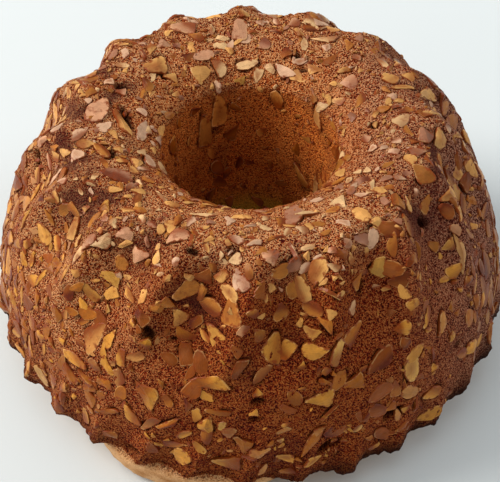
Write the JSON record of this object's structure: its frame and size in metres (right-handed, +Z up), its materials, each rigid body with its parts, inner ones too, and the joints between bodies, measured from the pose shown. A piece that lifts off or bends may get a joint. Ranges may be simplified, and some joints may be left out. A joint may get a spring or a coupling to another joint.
{
  "type": "almond ring cake",
  "caption": "whole fluted ring cake with swirled flutes, a hole down the middle and flaked almonds baked into its brown crust, for setting on a plate or stand",
  "frame": {"origin": "centre of the flat base, on the table", "axes": "+Z up through the hole, the pictured front faces -Y, +X to its right"},
  "size_m": [0.2296, 0.2288, 0.1121],
  "materials": {
    "crust": "dry, fine-pored brown baked crust",
    "almond": "toasted almond flake, slightly waxy"
  },
  "bodies": {
    "root": {"cake": "crust"}
  },
  "joints": []
}
